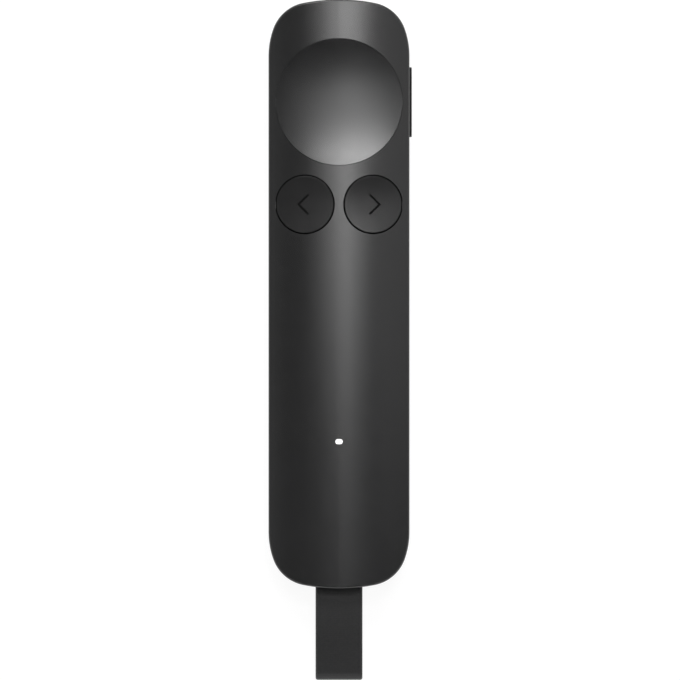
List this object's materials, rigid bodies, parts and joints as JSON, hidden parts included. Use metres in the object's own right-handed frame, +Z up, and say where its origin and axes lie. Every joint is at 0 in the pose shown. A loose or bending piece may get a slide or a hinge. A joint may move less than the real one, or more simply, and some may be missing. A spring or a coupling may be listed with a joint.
{
  "type": "wireless presentation clicker",
  "caption": "Slim wireless presentation clicker with a dished pointer button, back and next buttons, a side key, a laser, and a receiver stored in the tail on a webbing strap.",
  "frame": {"origin": "centre of the flat resting face of the back pad, under the middle of the body", "axes": "+X to the side key's flank, +Y along the body to the nose with the laser, +Z up through the buttons"},
  "size_m": [0.0305, 0.145, 0.013],
  "materials": {
    "casing": "dark graphite moulded plastic, fine matt texture",
    "button_cap": "dark graphite moulded plastic, satin",
    "soft_pad": "matt elastomer",
    "frame_plastic": "plain black moulding",
    "plunger_plastic": "pale nylon",
    "light_pipe": "clear moulded light pipe, lit",
    "lit_led": "lit white indicator",
    "circuit_board": "green solder mask",
    "chip_black": "moulded black epoxy",
    "chip_white": "pale ceramic",
    "steel": "plated steel",
    "brass": "turned brass",
    "window_glass": "tinted clear window",
    "wire_sleeve": "thin wire insulation",
    "battery_foil": "pouch foil",
    "adhesive": "double-sided tape",
    "webbing": "tight woven polyester webbing"
  },
  "bodies": {
    "casing": {"top_shell": "casing", "bottom_shell": "casing", "back_pad": "soft_pad", "case_screws": "steel", "chassis": "frame_plastic", "receiver_bay": "frame_plastic", "pointer_switch": "frame_plastic", "back_switch": "frame_plastic", "next_switch": "frame_plastic", "side_switch": "frame_plastic", "light_pipe": "light_pipe", "status_led": "lit_led", "main_board": "circuit_board", "board_screws": "steel", "radio_chip": "chip_black", "radio_crystal": "steel", "radio_shield": "steel", "chip_antenna": "chip_white", "motion_sensor": "chip_black", "charger_chip": "chip_black", "small_components": "chip_white", "charge_port_shell": "steel", "charge_port_tongue": "chip_black", "laser_window": "window_glass", "laser_barrel": "brass", "laser_lens": "window_glass", "laser_diode": "steel", "laser_driver_board": "circuit_board", "laser_leads": "wire_sleeve", "battery_cell": "battery_foil", "battery_adhesive": "adhesive", "battery_protection_board": "circuit_board", "battery_leads": "wire_sleeve", "battery_connector": "chip_white", "haptic_motor": "steel", "haptic_adhesive": "adhesive", "haptic_leads": "wire_sleeve"},
    "pointer_key": {"pointer_button": "button_cap", "pointer_switch_plunger": "plunger_plastic"},
    "back_key": {"back_button": "button_cap", "back_switch_plunger": "plunger_plastic"},
    "next_key": {"next_button": "button_cap", "next_switch_plunger": "plunger_plastic"},
    "side_key": {"side_button": "button_cap", "side_switch_plunger": "plunger_plastic"},
    "receiver": {"receiver_case": "casing", "receiver_front": "casing", "receiver_board": "circuit_board", "receiver_chip": "chip_black", "plug_shell": "steel", "plug_insulator": "chip_black", "strap_pin": "steel", "strap": "webbing"}
  },
  "joints": [
    {"name": "pointer_press", "type": "slide", "parent": "casing", "child": "pointer_key", "axis": [0, 0, -1], "range_m": [0, 0.00035], "stiffness_N_per_m": 4000},
    {"name": "back_press", "type": "slide", "parent": "casing", "child": "back_key", "axis": [0, 0, -1], "range_m": [0, 0.0003], "stiffness_N_per_m": 4000},
    {"name": "next_press", "type": "slide", "parent": "casing", "child": "next_key", "axis": [0, 0, -1], "range_m": [0, 0.0003], "stiffness_N_per_m": 4000},
    {"name": "side_press", "type": "slide", "parent": "casing", "child": "side_key", "axis": [-1, 0, 0], "range_m": [0, 0.0003], "stiffness_N_per_m": 4000},
    {"name": "receiver_pull", "type": "slide", "parent": "casing", "child": "receiver", "axis": [0, -1, 0], "range_m": [0, 0.024]}
  ]
}
